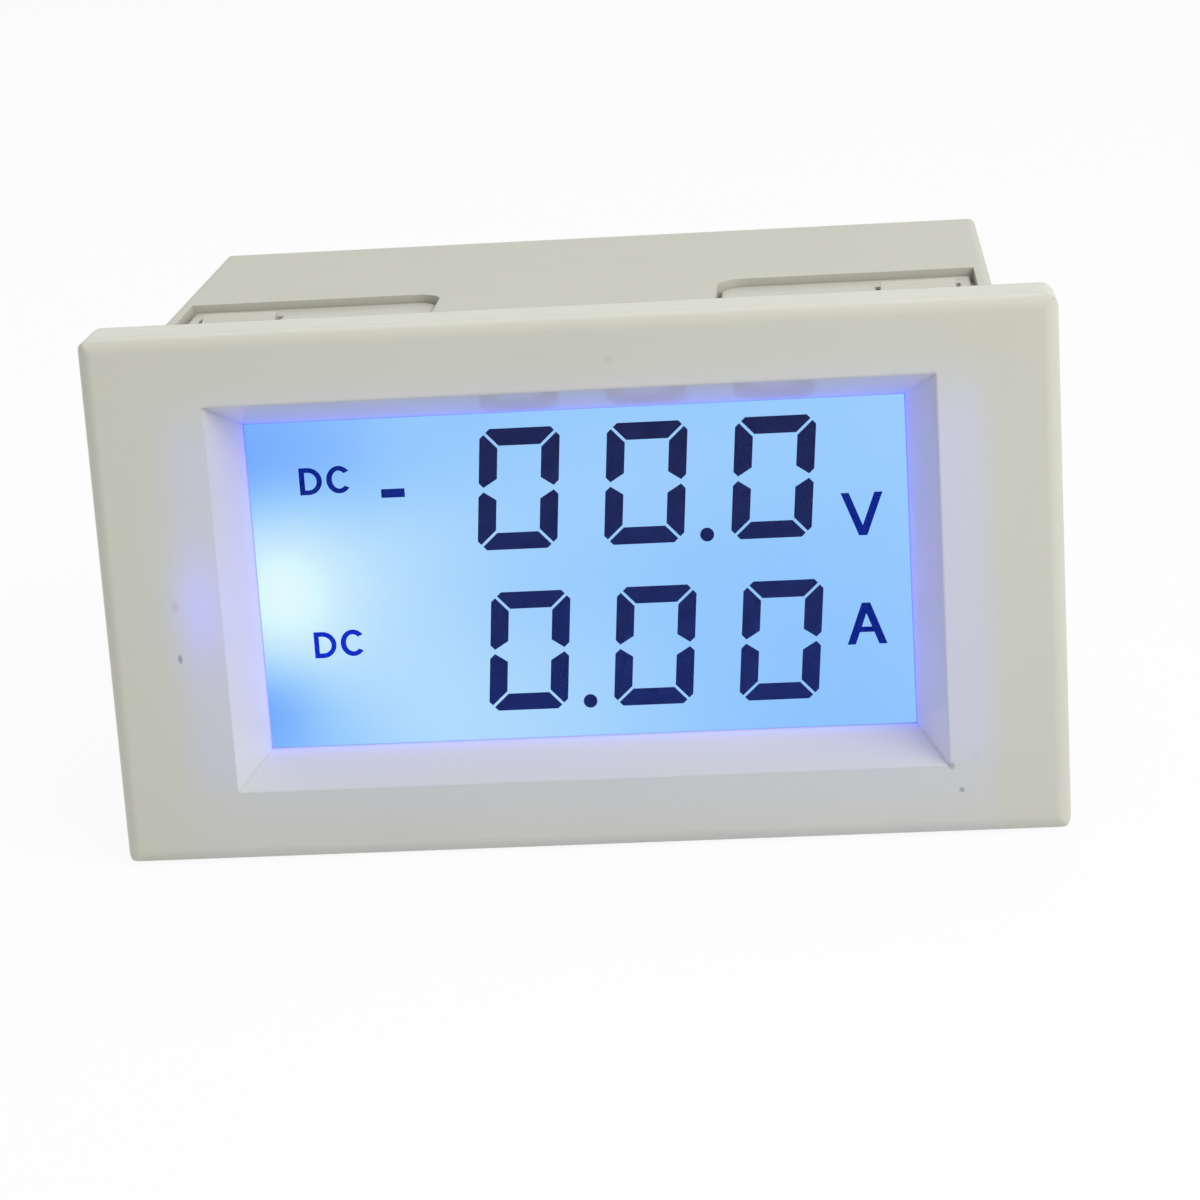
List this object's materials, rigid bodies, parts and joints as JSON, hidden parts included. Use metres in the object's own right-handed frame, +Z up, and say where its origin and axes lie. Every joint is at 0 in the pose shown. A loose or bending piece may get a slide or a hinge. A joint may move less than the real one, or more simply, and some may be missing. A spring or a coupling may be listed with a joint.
{
  "type": "digital panel meter",
  "caption": "Rectangular panel meter with a bevelled white bezel, a backlit two-row liquid crystal display, a snap-in housing and rear screw terminals; it shows a circuit's voltage and current.",
  "frame": {"origin": "centre of the bezel's rear face, where it seats on the panel", "axes": "+X to the right of someone reading the display, +Y into the panel towards the terminals, +Z up"},
  "size_m": [0.079, 0.048, 0.045],
  "materials": {
    "white_plastic": "warm white ABS, satin",
    "polarising_film": "grey film",
    "cell_glass": "clear glass",
    "cell_seal": "epoxy",
    "dark_segments": "dark blue-black",
    "lit_diffuser": "lit from behind",
    "clear_acrylic": "clear acrylic",
    "reflector": "white film",
    "lamp": "white body, clear lens",
    "tinned_metal": "tinned",
    "circuit_board": "green solder mask",
    "black_plastic": "moulded black",
    "gold_pins": "thin gold plate",
    "zinc_steel": "zinc plated",
    "brass_plate": "tinned brass",
    "blue_plastic": "blue moulding",
    "pale_plastic": "pale moulding",
    "can_sleeve": "dark blue sleeve",
    "red_box": "red box",
    "resistor_paint": "blue lacquer"
  },
  "bodies": {
    "meter": {"front_bezel": "white_plastic", "rear_housing": "white_plastic", "front_polariser": "polarising_film", "front_glass": "cell_glass", "cell_seal": "cell_seal", "display_segments": "dark_segments", "rear_glass": "cell_glass", "rear_polariser": "polarising_film", "diffuser_film": "lit_diffuser", "light_guide": "clear_acrylic", "reflector_film": "reflector", "backlight_led": "lamp", "display_pins": "tinned_metal", "display_board": "circuit_board", "meter_chip": "black_plastic", "amplifier_chip": "black_plastic", "header_pins": "gold_pins", "header_bases": "black_plastic", "header_sockets": "black_plastic", "power_board": "circuit_board", "board_screws": "zinc_steel", "terminal_block": "black_plastic", "contact_plates": "brass_plate", "trimmer_body_volts": "blue_plastic", "trimmer_body_amps": "blue_plastic", "supply_capacitor": "can_sleeve", "output_capacitor": "can_sleeve", "film_capacitor": "red_box", "regulator": "black_plastic", "divider_resistors": "resistor_paint", "supply_diode": "black_plastic"},
    "clamp_1": {"clamp_washer_1": "zinc_steel"},
    "screw_1": {"terminal_screw_1": "zinc_steel"},
    "clamp_2": {"clamp_washer_2": "zinc_steel"},
    "screw_2": {"terminal_screw_2": "zinc_steel"},
    "clamp_3": {"clamp_washer_3": "zinc_steel"},
    "screw_3": {"terminal_screw_3": "zinc_steel"},
    "clamp_4": {"clamp_washer_4": "zinc_steel"},
    "screw_4": {"terminal_screw_4": "zinc_steel"},
    "trimmer_volts": {"trimmer_rotor_volts": "pale_plastic"},
    "trimmer_amps": {"trimmer_rotor_amps": "pale_plastic"}
  },
  "joints": [
    {"name": "clamp_1_lift", "type": "slide", "parent": "meter", "child": "clamp_1", "axis": [0, 1, 0], "range_m": [0, 0.002]},
    {"name": "screw_1_turn", "type": "hinge", "parent": "clamp_1", "child": "screw_1", "pos_m": [-0.0135, 0.0385, -0.0075], "axis": [0, 1, 0], "range_deg": [0, 1440]},
    {"name": "clamp_2_lift", "type": "slide", "parent": "meter", "child": "clamp_2", "axis": [0, 1, 0], "range_m": [0, 0.002]},
    {"name": "screw_2_turn", "type": "hinge", "parent": "clamp_2", "child": "screw_2", "pos_m": [-0.0045, 0.0385, -0.0075], "axis": [0, 1, 0], "range_deg": [0, 1440]},
    {"name": "clamp_3_lift", "type": "slide", "parent": "meter", "child": "clamp_3", "axis": [0, 1, 0], "range_m": [0, 0.002]},
    {"name": "screw_3_turn", "type": "hinge", "parent": "clamp_3", "child": "screw_3", "pos_m": [0.0045, 0.0385, -0.0075], "axis": [0, 1, 0], "range_deg": [0, 1440]},
    {"name": "clamp_4_lift", "type": "slide", "parent": "meter", "child": "clamp_4", "axis": [0, 1, 0], "range_m": [0, 0.002]},
    {"name": "screw_4_turn", "type": "hinge", "parent": "clamp_4", "child": "screw_4", "pos_m": [0.0135, 0.0385, -0.0075], "axis": [0, 1, 0], "range_deg": [0, 1440]},
    {"name": "trimmer_volts_turn", "type": "hinge", "parent": "meter", "child": "trimmer_volts", "pos_m": [-0.014, 0.0325, 0.0125], "axis": [0, 1, 0], "range_deg": [-120, 120]},
    {"name": "trimmer_amps_turn", "type": "hinge", "parent": "meter", "child": "trimmer_amps", "pos_m": [0.014, 0.0325, 0.0125], "axis": [0, 1, 0], "range_deg": [-120, 120]}
  ],
  "couplings": [
    {"joint": "screw_1_turn", "follows": "clamp_1_lift", "rad_per_m": 12566},
    {"joint": "screw_2_turn", "follows": "clamp_2_lift", "rad_per_m": 12566},
    {"joint": "screw_3_turn", "follows": "clamp_3_lift", "rad_per_m": 12566},
    {"joint": "screw_4_turn", "follows": "clamp_4_lift", "rad_per_m": 12566}
  ]
}
